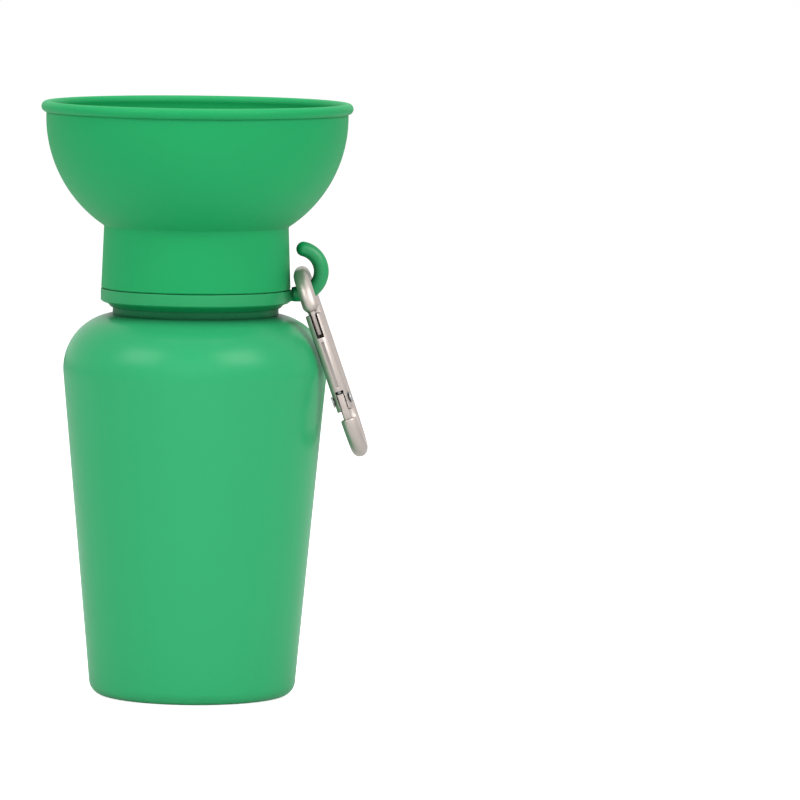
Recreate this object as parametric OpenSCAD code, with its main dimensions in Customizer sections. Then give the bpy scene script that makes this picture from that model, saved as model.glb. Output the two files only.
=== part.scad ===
// Travel water bottle for a dog: a squeeze bottle whose screw cap carries a silicone bowl that
// folds down over the neck, a twist valve with a carry loop, and a hook ring with a snap hook.
// Millimetres. Z is up, the bottle's axis is the Z axis, and the base stands on z = 0.
// The hook is on the +X side.

/* [Bottle] */
// Widest outer radius, at the shoulder
body_r = 45.45; // [44:0.05:46.5]
// Radius of the tapered wall in the plane of the base
foot_r = 35.25; // [33:0.05:38]
// Height at which the shoulder meets the neck
shoulder_h = 131.9; // [120:0.5:150]
// Radius of the rounded shoulder
shoulder_arc_r = 19.1; // [18:0.1:20.5]
// Radius of the rounded edge of the base
foot_fillet_r = 5; // [2.5:0.1:6]
// Wall of the body
bottle_wall = 1.3; // [1:0.1:1.8]
// Thickness of the base
bottle_floor = 2.2; // [1.5:0.1:4]

/* [Neck and thread] */
// Height of the neck above the shoulder
neck_h = 24.1; // [22:0.1:28]
// Outer radius of the neck between the threads
neck_r = 27.2; // [26.5:0.1:27.3]
// Wall of the neck
neck_wall = 1.5; // [1.2:0.1:2]
// Distance by which the collar at the neck's foot stands out from the neck
collar_out = 1.4; // [1:0.1:1.6]
// Height of that collar
collar_h = 6.5; // [5:0.1:8]
// Rise of the screw thread in one turn
thread_pitch = 4.5; // [4:0.1:5]
// Turns of screw thread
thread_turns = 1.5; // [1:0.25:1.75]
// Height of a thread's ridge
thread_depth = 1.25; // [1:0.05:1.3]
// Width of a ridge at its root
thread_root_w = 2.2; // [1.8:0.05:2.4]
// Width of a ridge at its crest
thread_crest_w = 1.1; // [0.8:0.05:1.3]
// Distance from the lip down to the middle of the highest thread
thread_from_lip = 3; // [2.5:0.1:4]

/* [Screw cap] */
// Wall of the cap at its deck
cap_wall = 1.55; // [1.3:0.05:2]
// Distance that the cap widens from its deck down to the hook ring
cap_draft = 0.8; // [0.6:0.05:1.2]
// Thickness of the cap's deck
deck_t = 3; // [2.6:0.1:4]
// Thickness of the gasket under the deck
gasket_t = 1.5; // [1:0.1:2.5]
// Distance that the cap's skirt reaches below the hook ring
skirt_drop = 1.6; // [1:0.1:2]
// Wall of the skirt at its lower end
skirt_end_wall = 0.6; // [0.5:0.05:0.9]
// Wall of the lowest part of the cap, inside the hook ring
step_wall = 1.35; // [1.1:0.05:1.5]
// Distance that the cap's lip stands out under the ring's ledge
lip_bite = 0.6; // [0.4:0.05:0.8]
// Height of that lip
lip_h = 0.9; // [0.7:0.05:1.1]

/* [Hook ring] */
// Wall of the ring
ring_wall = 2.25; // [2.1:0.05:2.8]
// Height of the ring
ring_h = 4.6; // [4.3:0.1:5]
// Gap between the bottle's shoulder and the ring
ring_lift = 4.1; // [3:0.1:5]
// Height of the hook's root above the ring's lower face, to the middle of the rod
hook_root_h = 3.1; // [2.8:0.05:3.15]
// Width of the flat foot between the ring and the hook's rod
hook_foot_w = 4.2; // [3.6:0.1:4.6]
// Radius of the hook's arc, to the middle of the rod
hook_arc_r = 7.9; // [7.6:0.1:8.4]
// Radius of the hook's rod
hook_rod_r = 2.6; // [2.3:0.05:2.6]
// Distance of the hook's centre outside the ring
hook_out = 2.5; // [1.9:0.1:2.8]
// Angle at which the hook's tip ends, above the horizontal
hook_tip_deg = 77; // [60:1:90]

/* [Bowl] */
// Outer radius of the wall where it stands upright, under the bead
bowl_r = 51.95; // [51.8:0.05:53]
// Radius of the wall's outward curve
bowl_arc_r = 44.8; // [42:0.1:46]
// Angle of the inner wall's curve, from the bowl's floor to where it stands upright
bowl_curve_deg = 60.16; // [56:0.02:64]
// Height from the bowl's floor to the middle of the bead
bowl_h = 40.7; // [40:0.1:44]
// Wall of the bowl
bowl_wall = 1.8; // [1.4:0.1:2.2]
// Thickness of the bowl's floor
bowl_floor = 1.8; // [1.5:0.1:2.2]
// Wall of the sleeve that grips the cap
sleeve_wall = 1.35; // [1.1:0.05:1.6]
// Radius of the bead's section
bead_r = 1.9; // [1.5:0.05:2.2]
// Distance of the bead's middle inside the wall's outer face
bead_inset = 0.2; // [0:0.05:0.9]

/* [Valve] */
// Radius of the knob's disc
knob_r = 19.7; // [19.2:0.1:22]
// Thickness of the knob's disc
knob_t = 2.4; // [2:0.1:3.4]
// Radius of the knob's stem
stem_r = 4; // [3.6:0.1:4.4]
// Height of the hub that guides the stem, under the deck
hub_h = 6; // [5:0.1:8]
// Radius of the water port
port_r = 2.4; // [1.8:0.1:2.6]
// Distance of the water port from the axis
port_out = 13; // [12.5:0.1:13.4]
// Outer radius of the dip tube
tube_r = 4; // [3.6:0.1:4.2]
// Wall of the dip tube
tube_wall = 1.2; // [0.8:0.1:1.4]
// Gap between the dip tube's tip and the inside of the base
tube_tip_gap = 4; // [2:0.5:10]
// Angle that the knob turns through from shut to open
valve_turn = 90; // [80:1:100]

/* [Carry loop] */
// Half the width of the loop, to the middle of the rod
loop_half_w = 15.1; // [14:0.1:15.5]
// Height of the loop above the knob's disc, to the middle of the rod
loop_h = 17.3; // [17.1:0.1:20]
// Radius of the loop's rod
loop_rod_r = 2.3; // [1.8:0.05:2.8]

/* [Snap hook] */
// Length over all
clip_len = 68.4; // [66:0.1:72]
// Width over all
clip_w = 36.5; // [34:0.1:37]
// Radius of the frame's rod
clip_rod_r = 2.75; // [2.6:0.05:2.75]
// Radius of the two upper corners, to the middle of the rod
clip_top_corner_r = 10; // [9:0.1:10.4]
// Radius of the two lower corners, to the middle of the rod
clip_low_corner_r = 11.5; // [10:0.1:12]
// Angle at which it hangs, lower end outward
clip_tilt = 19.2; // [18.5:0.1:20]
// Direction in which its rod lies off the hook's centre, below the horizontal
clip_rest_deg = 48; // [40:1:60]
// Gap between its rod and the hook's rod
clip_rest_gap = 0.8; // [0.6:0.05:1]
// Outer radius of the gate
gate_r = 2.85; // [2.75:0.05:2.9]
// Distance from the frame's top rod down to the gate's tip
gate_tip = 13.1; // [12.9:0.1:13.6]
// Distance from the frame's top rod down to the rivet
gate_rivet_at = 44; // [42:0.1:45]
// Length of the slot's tongue below the gate's tip
tongue_len = 7.5; // [6:0.1:9]
// Length of the lug, from the rivet down to the full rod
lug_len = 6.9; // [6:0.1:8]
// Radius of the rivet
rivet_r = 1.1; // [0.9:0.05:1.3]
// Thickness of the frame's lug between the gate's cheeks
lug_t = 2.4; // [2:0.1:2.6]
// Thickness of the nose's tongue
tongue_t = 1.6; // [1.3:0.1:1.7]

/* [Hidden] */
$fn = 64;

// Clearances
run_gap = 0.08;      // radial, a shaft in its bore
loose_gap = 0.3;     // radial or axial, pieces that pass each other freely
seat_gap = 0.05;     // pieces that sit on each other
thread_gap = 0.4;    // crest of one thread to the wall of the other
embed = 0.3;         // depth to which a ridge or boss is sunk into its own wall
hook_sink = 0.9;     // depth to which the hook's foot is sunk into the ring
arc_steps = 24;      // points along a profile's arc

// Colours
silicone_green = "#34a669";
cap_green = "#2f9c61";
bottle_green = "#3fb27a";
seal_grey = "#d8d8d2";
tube_clear = "#cfe6da";
zinc = "#b3aea9";
steel = "#9a9a9c";

// Bottle: the shoulder's arc, and the taper that runs from it down to the base
collar_r = neck_r + collar_out;
shoulder_x = body_r - shoulder_arc_r;
shoulder_z = shoulder_h - sqrt(pow(shoulder_arc_r, 2) - pow(collar_r - shoulder_x, 2));
taper_reach = norm([foot_r - shoulder_x, shoulder_z]);
taper_deg = -(atan2(-shoulder_z, foot_r - shoulder_x) + acos(shoulder_arc_r / taper_reach));
lip_z = shoulder_h + neck_h;
neck_bore_r = neck_r - neck_wall;
inner_foot_fillet_r = foot_fillet_r - bottle_wall;

// Cap and ring
cap_bore_r = neck_r + thread_depth + thread_gap;
cap_top_r = cap_bore_r + cap_wall;
cap_low_r = cap_top_r + cap_draft;
deck_low = lip_z + gasket_t;
deck_top = deck_low + deck_t;
ring_low = shoulder_h + ring_lift;
ring_top = ring_low + ring_h;
cap_low = ring_low + loose_gap;
skirt_low = ring_low - skirt_drop;
skirt_end_r = cap_bore_r + skirt_end_wall;
step_r = cap_bore_r + step_wall;
ring_bore_r = step_r + loose_gap;
ring_r = ring_bore_r + ring_wall;
lip_r = ring_bore_r + lip_bite;
lip_top = cap_low + lip_h;
ledge_z = lip_top + 0.2;
sleeve_low = ring_top + 0.15;

// Threads
thread_arc_step = 45;
thread_arc_deg = 41;
thread_arcs = floor(thread_turns * 360 / thread_arc_step);
thread_top_z = lip_z - thread_from_lip;
thread_low_z = thread_top_z - thread_turns * thread_pitch;
thread_load_gap = 0.3;
thread_mid_w = (thread_root_w + thread_crest_w) / 2;
cap_thread_drop = thread_mid_w + thread_load_gap;

// Bowl
floor_z = deck_top + bowl_floor;
bowl_arc_x = bowl_r - bowl_arc_r;
bowl_upright_h = (bowl_arc_r - bowl_wall) * sin(bowl_curve_deg);
bowl_arc_z = floor_z + bowl_upright_h;
bead_z = floor_z + bowl_h;
rim_split_z = bead_z - bead_r - 0.5;
sleeve_low_r = cap_low_r + seat_gap + sleeve_wall;
sleeve_top_r = cap_top_r + seat_gap + sleeve_wall;
grip_z = (sleeve_low + deck_top) / 2;
grip_r = 0.6;
grip_wall_r = cap_low_r + (cap_top_r - cap_low_r) * (grip_z - ring_top) / (deck_top - ring_top);

// Valve
knob_low = deck_top + loose_gap;
knob_top = knob_low + knob_t;
knob_hole_r = knob_r + 0.6;
hub_r = stem_r + 3.5;
hub_low = deck_low - hub_h;
washer_t = 0.5;
clip_groove_low = hub_low - washer_t - 0.9;
clip_t = 0.6;
stem_low = clip_groove_low - 1.2;
clip_groove_r = stem_r - 1.2;
oring_r = 0.75;
oring_ring_r = stem_r + run_gap - 0.03 - oring_r;
oring_z = hub_low + hub_h / 2;
seal_in_r = port_r + 0.2;
seal_out_r = seal_in_r + 2;
seal_pocket = 0.8;
seal_t = seal_pocket + loose_gap - 0.1;
port_deg = 135;
stop_out = 15.5;
stop_deg = 225;
stop_r = 1.2;
stop_h = 1.2;
stop_depth = 1.6;
socket_r = tube_r + 2;
socket_h = 5;
tube_top = deck_low - 0.4;
tube_low = bottle_floor + tube_tip_gap;

// Carry loop: a half ring on two short legs
loop_leg_h = loop_h - loop_half_w;
loop_foot_r = loop_rod_r + 1.2;
loop_foot_h = loop_leg_h - 0.4;

// Hook and snap hook. The snap hook's own frame has its origin in its top rod, -Z along its
// length, Y across it with the gate at -Y, and X square to its flat side.
hook_x = ring_r + hook_out;
hook_z = ring_low + hook_root_h + hook_arc_r;
clip_play = hook_arc_r - hook_rod_r - clip_rod_r - clip_rest_gap;
clip_x = hook_x + clip_play * cos(clip_rest_deg);
clip_z = hook_z - clip_play * sin(clip_rest_deg);
clip_half_w = clip_w / 2 - clip_rod_r;
clip_low_z = clip_rod_r * 2 - clip_len;
nose_z = -clip_top_corner_r;
nose_neck_z = nose_z - 2.3;
nose_neck_r = 1.45;
tongue_tip_z = -gate_tip - tongue_len;
tongue_half_d = 1.6;
gate_slot_w = tongue_t + 0.9;
gate_slot_low = tongue_tip_z - 0.9;
gate_slot_back = tongue_half_d + 0.2;
rivet_z = -gate_rivet_at;
cheek_r = 4;
lug_shoulder_z = rivet_z - lug_len;
lug_half_d = 2.2;
lug_top = 2.1;
lug_slot_w = lug_t + 0.5;
lug_slot_top = rivet_z + 3.2;
rivet_head_r = 1.9;
rivet_head_h = 0.45;
plunger_r = 1.42;
plunger_bore_r = plunger_r + run_gap;
plunger_low = rivet_z + lug_top + 0.15;
plunger_len = 6.2;
spring_low = plunger_low + plunger_len + seat_gap;
spring_len = 6.8;
spring_wire_r = 0.22;
spring_coil_r = 1.1;
spring_curls = 5;
spring_rings = 8;
spring_sides = 6;
gate_bore_top = spring_low + spring_len + seat_gap;
groove_w = 0.9;
groove_depth = 0.5;

echo(joint_frame = [clip_x, clip_z], rivet = place([0, -clip_half_w, rivet_z]));
echo(heights = [ring_low, deck_top, floor_z, knob_top, bead_z], shoulder = shoulder_z, taper = taper_deg);

function arc(cx, cz, r, from, to) =
    [for (i = [0:arc_steps]) let(a = from + (to - from) * i / arc_steps) [cx + r * cos(a), cz + r * sin(a)]];

// A point of the snap hook's own frame, in the bottle's frame
function place(p) = [
    clip_x + p[0] * cos(clip_tilt) - p[2] * sin(clip_tilt),
    p[1],
    clip_z + p[0] * sin(clip_tilt) + p[2] * cos(clip_tilt)];

module in_clip() {
    translate([clip_x, 0, clip_z])
        rotate([0, -clip_tilt, 0])
            children();
}

// ---- Bottle ----

// Half section of the bottle's skin, set in by t from the outside, with its floor at z = low
function body_profile(t, low, fillet) =
    let(wall_x = foot_r + low * tan(taper_deg) - t / cos(taper_deg))
    let(fillet_x = wall_x - fillet * (1 - sin(taper_deg)) / cos(taper_deg))
    let(top_r = t > 0 ? neck_bore_r : collar_r)
    let(top_deg = acos((top_r - shoulder_x) / (shoulder_arc_r - t)))
    concat([[0, low]],
           arc(fillet_x, low + fillet, fillet, -90, -taper_deg),
           arc(shoulder_x, shoulder_z, shoulder_arc_r - t, -taper_deg, top_deg));

// One ridge of a right-hand thread, as arcs along the helix with vent gaps between them
module thread(profile, mean_r, low) {
    lead_deg = atan(thread_pitch / (2 * PI * mean_r));
    for (i = [0:thread_arcs - 1])
        translate([0, 0, low + (i + 0.5) * thread_pitch * thread_arc_step / 360])
            rotate([0, 0, (i + 0.5) * thread_arc_step])
                rotate([lead_deg, 0, 0])
                    rotate([0, 0, -thread_arc_deg / 2])
                        rotate_extrude(angle = thread_arc_deg)
                            polygon(profile);
}

module bottle() {
    root = neck_r - embed;
    crest = neck_r + thread_depth;
    color(bottle_green) {
        rotate_extrude()
            difference() {
                polygon(concat(body_profile(0, 0, foot_fillet_r),
                               [[collar_r, shoulder_h + collar_h], [neck_r, shoulder_h + collar_h + 1],
                                [neck_r, lip_z], [0, lip_z]]));
                polygon(concat(body_profile(bottle_wall, bottle_floor, inner_foot_fillet_r),
                               [[neck_bore_r, lip_z + 1], [0, lip_z + 1]]));
            }
        thread([[root, -thread_root_w / 2], [crest, -thread_crest_w / 2],
                [crest, thread_crest_w / 2], [root, thread_root_w / 2]],
               neck_r, thread_low_z);
    }
}

// ---- Screw cap ----

module at_port(deg) {
    rotate([0, 0, deg])
        translate([port_out, 0, 0])
            children();
}

// Blind groove in the deck, in which the knob's stop runs
module stop_groove() {
    play_deg = 1;
    translate([0, 0, deck_top - stop_depth])
        rotate([0, 0, stop_deg - play_deg])
            rotate_extrude(angle = valve_turn + 2 * play_deg)
                translate([stop_out - stop_r - loose_gap, 0])
                    square([2 * (stop_r + loose_gap), stop_depth + 1]);
    for (deg = [stop_deg, stop_deg + valve_turn])
        rotate([0, 0, deg])
            translate([stop_out, 0, deck_top - stop_depth])
                cylinder(r = stop_r + loose_gap, h = stop_depth + 1);
}

module screw_cap() {
    root = cap_bore_r + embed;
    crest = cap_bore_r - thread_depth;
    color(cap_green) {
        difference() {
            union() {
                rotate_extrude()
                    difference() {
                        polygon([[0, deck_low], [cap_bore_r, deck_low], [cap_bore_r, skirt_low],
                                 [skirt_end_r, skirt_low], [lip_r, cap_low], [lip_r, lip_top], [step_r, lip_top],
                                 [step_r, ring_top], [cap_low_r, ring_top],
                                 [cap_top_r, deck_top], [0, deck_top]]);
                        translate([grip_wall_r, grip_z])
                            circle(r = grip_r);
                    }
                translate([0, 0, hub_low])
                    cylinder(r = hub_r, h = hub_h + embed);
                at_port(port_deg)
                    translate([0, 0, deck_low - socket_h])
                        cylinder(r = socket_r, h = socket_h + embed);
            }
            translate([0, 0, hub_low - 1])
                cylinder(r = stem_r + run_gap, h = hub_h + deck_t + 2);
            at_port(port_deg) {
                translate([0, 0, deck_low - socket_h - 1])
                    cylinder(r = tube_r + seat_gap, h = socket_h + 1 - 0.3);
                translate([0, 0, deck_low - 1])
                    cylinder(r = port_r, h = deck_t + 2);
                translate([0, 0, deck_top - seal_pocket])
                    cylinder(r = seal_out_r + seat_gap, h = seal_pocket + 1);
            }
            stop_groove();
        }
        thread([[root, -thread_root_w / 2], [root, thread_root_w / 2],
                [crest, thread_crest_w / 2], [crest, -thread_crest_w / 2]],
               cap_bore_r, thread_low_z - cap_thread_drop);
    }
}

module cap_gasket() {
    color(seal_grey)
        translate([0, 0, lip_z])
            difference() {
                cylinder(r = cap_bore_r - loose_gap, h = gasket_t);
                translate([0, 0, -1])
                    cylinder(r = neck_bore_r - 0.4, h = gasket_t + 2);
            }
}

// ---- Hook ring ----

// Half section of the hook's round tip, with a core that is sunk into the rod
module hook_tip() {
    core_r = hook_rod_r - 0.4;
    difference() {
        circle(r = hook_rod_r);
        translate([-hook_rod_r - 1, -hook_rod_r - 1])
            square([2 * hook_rod_r + 2, hook_rod_r + 1]);
        translate([-hook_rod_r - 1, -1])
            square([hook_rod_r + 1, hook_rod_r + 2]);
    }
    translate([0, -embed])
        square([core_r, 2 * embed]);
}

module hook_ring() {
    edge_w = 0.8;
    edge_h = 0.6;
    root_x = sleeve_low_r + 0.4;
    color(cap_green) {
        rotate_extrude()
            polygon([[ring_bore_r, ledge_z], [lip_r + 0.4, ledge_z], [lip_r + 0.4, ring_low],
                     [ring_r - edge_w, ring_low], [ring_r, ring_low + edge_h],
                     [ring_r, ring_top], [ring_bore_r, ring_top]]);
        translate([ring_r - hook_sink, -hook_foot_w / 2, ring_low + edge_h + 0.1])
            cube([root_x + embed - ring_r + hook_sink, hook_foot_w, ring_h - edge_h - 0.2]);
        translate([root_x, 0, hook_z - hook_arc_r])
            rotate([0, 90, 0])
                cylinder(r = hook_rod_r, h = hook_x - root_x);
        translate([hook_x, 0, hook_z])
            rotate([90, 0, 0])
                rotate([0, 0, -90])
                    rotate_extrude(angle = 90 + hook_tip_deg)
                        translate([hook_arc_r, 0])
                            circle(r = hook_rod_r);
        translate([hook_x + hook_arc_r * cos(hook_tip_deg), 0, hook_z + hook_arc_r * sin(hook_tip_deg)])
            rotate([0, -hook_tip_deg, 0])
                rotate_extrude()
                    hook_tip();
    }
}

// ---- Bowl ----

module bowl() {
    foot_deg = acos((sleeve_top_r - bowl_arc_x) / bowl_arc_r);
    top_deg = asin((rim_split_z - bowl_arc_z) / bowl_arc_r);
    inner_r = bowl_arc_r - bowl_wall;
    inner_top_deg = asin((rim_split_z - bowl_arc_z) / inner_r);
    color(silicone_green)
        rotate_extrude() {
            polygon(concat([[sleeve_low_r, sleeve_low]],
                           arc(bowl_arc_x, bowl_arc_z, bowl_arc_r, -foot_deg, top_deg),
                           arc(bowl_arc_x, bowl_arc_z, inner_r, inner_top_deg, -bowl_curve_deg),
                           [[knob_hole_r, floor_z], [knob_hole_r, deck_top + seat_gap],
                            [cap_top_r + seat_gap, deck_top + seat_gap],
                            [cap_low_r + seat_gap, sleeve_low]]));
            translate([grip_wall_r + seat_gap, grip_z])
                circle(r = grip_r - 0.1);
        }
}

// The bead and the last of the wall under it
module bowl_rim() {
    color(silicone_green)
        rotate_extrude()
            difference() {
                union() {
                    translate([bowl_r - bead_inset, bead_z])
                        circle(r = bead_r);
                    translate([bowl_r - bowl_wall, rim_split_z])
                        square([bowl_wall, bead_z - rim_split_z]);
                }
                translate([0, rim_split_z - 2])
                    square([bowl_r * 2, 2]);
            }
}

// ---- Valve ----

module carry_loop() {
    translate([0, 0, knob_top + loop_leg_h])
        rotate([90, 0, 0])
            rotate_extrude(angle = 180)
                translate([loop_half_w, 0])
                    circle(r = loop_rod_r);
    for (side = [-1, 1])
        translate([side * loop_half_w, 0, knob_top])
            rotate_extrude()
                polygon([[0, -embed], [loop_foot_r, -embed], [loop_foot_r, 0],
                         [loop_rod_r, loop_foot_h], [loop_rod_r, loop_leg_h], [0, loop_leg_h]]);
}

module twist_knob() {
    edge = 0.6;
    groove_h = 2 * oring_r + 0.4;
    color(cap_green) {
        difference() {
            rotate_extrude()
                polygon([[0, stem_low], [stem_r - edge, stem_low], [stem_r, stem_low + edge],
                         [stem_r, clip_groove_low], [clip_groove_r, clip_groove_low],
                         [clip_groove_r, clip_groove_low + clip_t + 0.1],
                         [stem_r, clip_groove_low + clip_t + 0.1],
                         [stem_r, oring_z - groove_h / 2],
                         [oring_ring_r - oring_r - seat_gap, oring_z - groove_h / 2],
                         [oring_ring_r - oring_r - seat_gap, oring_z + groove_h / 2],
                         [stem_r, oring_z + groove_h / 2], [stem_r, knob_low],
                         [knob_r, knob_low], [knob_r, knob_top - edge],
                         [knob_r - edge, knob_top], [0, knob_top]]);
            at_port(port_deg - valve_turn)
                translate([0, 0, knob_low - 1])
                    cylinder(r = port_r, h = knob_t + 2);
        }
        carry_loop();
        rotate([0, 0, stop_deg])
            translate([stop_out, 0, knob_low - stop_h])
                cylinder(r = stop_r, h = stop_h + embed);
    }
}

module stem_oring() {
    color("#2b2b2b")
        translate([0, 0, oring_z])
            rotate_extrude()
                translate([oring_ring_r, 0])
                    circle(r = oring_r);
}

module stem_washer() {
    color(steel)
        translate([0, 0, hub_low - washer_t - seat_gap])
            difference() {
                cylinder(r = stem_r + 2.3, h = washer_t);
                translate([0, 0, -1])
                    cylinder(r = stem_r + 0.1, h = washer_t + 2);
            }
}

// Spring clip in the stem's groove, open on one side
module stem_clip() {
    mouth_w = clip_groove_r * 1.5;
    color(steel)
        translate([0, 0, clip_groove_low + seat_gap])
            difference() {
                cylinder(r = stem_r + 1.8, h = clip_t);
                translate([0, 0, -1])
                    cylinder(r = clip_groove_r + seat_gap, h = clip_t + 2);
                translate([0, -mouth_w / 2, -1])
                    cube([stem_r + 3, mouth_w, clip_t + 2]);
            }
}

module port_seal() {
    color(seal_grey)
        at_port(port_deg)
            translate([0, 0, deck_top - seal_pocket])
                difference() {
                    cylinder(r = seal_out_r, h = seal_t);
                    translate([0, 0, -1])
                        cylinder(r = seal_in_r, h = seal_t + 2);
                }
}

// Cut slantwise at its tip, so that it can't seal itself against the base
module dip_tube() {
    cut_deg = 35;
    color(tube_clear)
        at_port(port_deg)
            difference() {
                translate([0, 0, tube_low])
                    cylinder(r = tube_r, h = tube_top - tube_low);
                translate([0, 0, tube_low - 1])
                    cylinder(r = tube_r - tube_wall, h = tube_top - tube_low + 2);
                translate([-tube_r, 0, tube_low])
                    rotate([0, -cut_deg, 0])
                        translate([-tube_r, -2 * tube_r, -6 * tube_r])
                            cube([6 * tube_r, 4 * tube_r, 6 * tube_r]);
            }
}

// ---- Snap hook ----

// A quarter bend of the rod about [0, y, z], from the direction `from`, in the YZ plane
module clip_bend(y, z, r, from) {
    translate([0, y, z])
        rotate([90, 0, 90])
            rotate([0, 0, from])
                rotate_extrude(angle = 90)
                    translate([r, 0])
                        circle(r = clip_rod_r);
}

module clip_rod(y, z, len) {
    translate([0, y, z])
        cylinder(r = clip_rod_r, h = len);
}

module carabiner_frame() {
    top_y = clip_half_w - clip_top_corner_r;
    low_y = clip_half_w - clip_low_corner_r;
    low_corner_z = clip_low_z + clip_low_corner_r;
    color(zinc)
        in_clip() {
            translate([0, top_y, 0])
                rotate([90, 0, 0])
                    cylinder(r = clip_rod_r, h = 2 * top_y);
            clip_bend(top_y, -clip_top_corner_r, clip_top_corner_r, 0);
            clip_bend(-top_y, -clip_top_corner_r, clip_top_corner_r, 90);
            clip_rod(clip_half_w, low_corner_z, -clip_top_corner_r - low_corner_z);
            clip_bend(low_y, low_corner_z, clip_low_corner_r, -90);
            clip_bend(-low_y, low_corner_z, clip_low_corner_r, 180);
            translate([0, low_y, clip_low_z])
                rotate([90, 0, 0])
                    cylinder(r = clip_rod_r, h = 2 * low_y);
            clip_rod(-clip_half_w, low_corner_z, lug_shoulder_z - low_corner_z);
            nose();
            lug();
        }
}

// Nose whose flat tongue the gate's open slot closes over
module nose() {
    translate([0, -clip_half_w, nose_neck_z])
        cylinder(r1 = nose_neck_r, r2 = clip_rod_r, h = nose_z - nose_neck_z);
    translate([-tongue_t / 2, -clip_half_w - tongue_half_d, tongue_tip_z])
        cube([tongue_t, 2 * tongue_half_d, nose_neck_z + 1 - tongue_tip_z]);
}

// Flat lug between the gate's cheeks, bored for the rivet
module lug() {
    difference() {
        translate([-lug_t / 2, -clip_half_w - lug_half_d, lug_shoulder_z - embed])
            cube([lug_t, 2 * lug_half_d, rivet_z + lug_top - lug_shoulder_z + embed]);
        translate([-lug_t, -clip_half_w, rivet_z])
            rotate([0, 90, 0])
                cylinder(r = rivet_r + seat_gap, h = 2 * lug_t);
    }
}

module carabiner_gate() {
    length = gate_rivet_at + cheek_r - gate_tip;
    color(zinc)
        in_clip()
            translate([0, -clip_half_w, 0])
                difference() {
                    intersection() {
                        translate([0, 0, -gate_tip - length])
                            cylinder(r = gate_r, h = length);
                        union() {
                            translate([-gate_r - 1, -gate_r - 1, rivet_z])
                                cube([2 * gate_r + 2, 2 * gate_r + 2, length]);
                            translate([-gate_r - 1, 0, rivet_z])
                                rotate([0, 90, 0])
                                    cylinder(r = cheek_r, h = 2 * gate_r + 2);
                        }
                    }
                    gate_cuts();
                }
}

module gate_cuts() {
    translate([-gate_slot_w / 2, -gate_r - 1, gate_slot_low])
        cube([gate_slot_w, gate_r + 1 + gate_slot_back, -gate_tip + 1 - gate_slot_low]);
    translate([-lug_slot_w / 2, -gate_r - 1, rivet_z - cheek_r - 1])
        cube([lug_slot_w, 2 * gate_r + 2, lug_slot_top - rivet_z + cheek_r + 1]);
    translate([0, 0, lug_slot_top - 0.5])
        cylinder(r = plunger_bore_r, h = gate_bore_top - lug_slot_top + 0.5);
    translate([-gate_r - 1, 0, rivet_z])
        rotate([0, 90, 0])
            cylinder(r = rivet_r + run_gap, h = 2 * gate_r + 2);
    translate([-groove_w / 2, -gate_r - 1, lug_slot_top + 1.5])
        cube([groove_w, 1 + groove_depth, gate_slot_low - lug_slot_top - 3]);
}

module gate_rivet() {
    color(steel)
        in_clip()
            translate([0, -clip_half_w, rivet_z])
                rotate([0, 90, 0]) {
                    cylinder(r = rivet_r, h = 2 * gate_r + 0.2, center = true);
                    for (side = [-1, 1])
                        translate([0, 0, side * (gate_r + 0.1 + rivet_head_h / 2)])
                            cylinder(r = rivet_head_r, h = rivet_head_h, center = true);
                }
}

module gate_plunger() {
    color(steel)
        in_clip()
            translate([0, -clip_half_w, plunger_low])
                cylinder(r = plunger_r, h = plunger_len);
}

// One tube along a helix, its ends run straight up and down the coil's side for one diameter
spring_steps = spring_curls * spring_rings;
spring_rise = spring_len - 6 * spring_wire_r;
function spring_point(i) =
    let(a = 360 * i / spring_rings)
    [spring_coil_r * cos(a), spring_coil_r * sin(a), 3 * spring_wire_r + spring_rise * i / spring_steps];
spring_path = concat([spring_point(0) - [0, 0, 2 * spring_wire_r]],
                     [for (i = [0:spring_steps]) spring_point(i)],
                     [spring_point(spring_steps) + [0, 0, 2 * spring_wire_r]]);
spring_self_gap = min([for (i = [0:spring_steps - spring_rings])
    norm(spring_point(i + spring_rings) - spring_point(i))]) - 2 * spring_wire_r;
echo(spring_self_gap = spring_self_gap);

// Rings square to the coil's axis at the ends and radial between them
function tube_ring(p, radial) =
    let(out = [p[0], p[1], 0] / norm([p[0], p[1]]))
    let(side = [-out[1], out[0], 0])
    [for (k = [0:spring_sides - 1]) let(a = 360 * k / spring_sides)
        p + spring_wire_r * (cos(a) * out + sin(a) * (radial ? [0, 0, 1] : -side))];

module gate_spring() {
    count = len(spring_path);
    rings = [for (i = [0:count - 1]) tube_ring(spring_path[i], i > 0 && i < count - 1)];
    points = [for (ring = rings) for (p = ring) p];
    last = (count - 1) * spring_sides;
    sides = [for (i = [0:count - 2]) for (k = [0:spring_sides - 1])
        let(a = i * spring_sides + k, b = i * spring_sides + (k + 1) % spring_sides)
        for (f = [[a, b, a + spring_sides], [b, b + spring_sides, a + spring_sides]]) f];
    caps = [for (k = [1:spring_sides - 2]) for (f = [[0, k + 1, k], [last, last + k, last + k + 1]]) f];
    color(steel)
        in_clip()
            translate([0, -clip_half_w, spring_low])
                polyhedron(points = points, faces = concat(sides, caps));
}

bottle();
screw_cap();
cap_gasket();
hook_ring();
bowl();
bowl_rim();
twist_knob();
stem_oring();
stem_washer();
stem_clip();
port_seal();
dip_tube();
carabiner_frame();
carabiner_gate();
gate_rivet();
gate_plunger();
gate_spring();
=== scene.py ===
import math

import bmesh
import bpy
from mathutils import Matrix, Vector


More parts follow.
